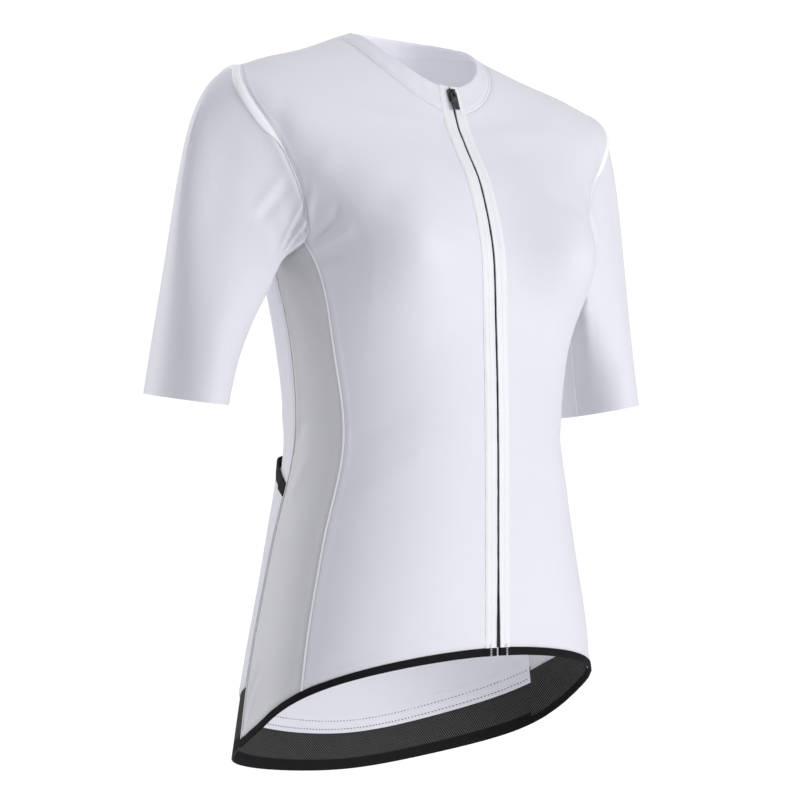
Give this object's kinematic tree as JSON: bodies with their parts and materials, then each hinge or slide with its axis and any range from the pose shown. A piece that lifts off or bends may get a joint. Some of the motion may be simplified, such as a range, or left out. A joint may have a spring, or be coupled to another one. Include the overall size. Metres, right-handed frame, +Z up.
{
  "type": "cycling jersey",
  "caption": "Short-sleeved cycling jersey in white knit with a stand-up collar, full front zip, rear pockets and a dropped back hem with a gripper band.",
  "frame": {"origin": "midway between the neck ends of the shoulder line, where the wearer's shoulders hold the jersey up", "axes": "+Z up, -Y towards the front of the wearer, +X towards the wearer's left"},
  "size_m": [0.522, 0.2361, 0.6696],
  "materials": {
    "white_knit": "smooth knit with a soft satin sheen",
    "white_tape": "close woven tape, matt",
    "black_elastic": "ribbed elastic, matt",
    "black_coil": "moulded coil, half gloss",
    "dark_metal": "dark grey enamel"
  },
  "bodies": {
    "garment": {"front_left": "white_knit", "front_right": "white_knit", "side_left": "white_knit", "side_right": "white_knit", "sleeve_left": "white_knit", "sleeve_right": "white_knit", "back": "white_knit", "collar": "white_knit", "pocket_panel": "white_knit", "pocket_elastic": "black_elastic", "zip_tape_left": "white_tape", "zip_tape_right": "white_tape", "zip_coil": "black_coil", "hem_binding_left": "black_elastic", "hem_binding_right": "black_elastic", "hem_gripper": "black_elastic", "zip_slider": "dark_metal"},
    "pull": {"zip_pull": "dark_metal"}
  },
  "joints": [
    {"name": "pull_swing", "type": "hinge", "parent": "garment", "child": "pull", "pos_m": [0, -0.03085, -0.04327], "axis": [-1, 0, 0], "range_deg": [0, 150]}
  ]
}
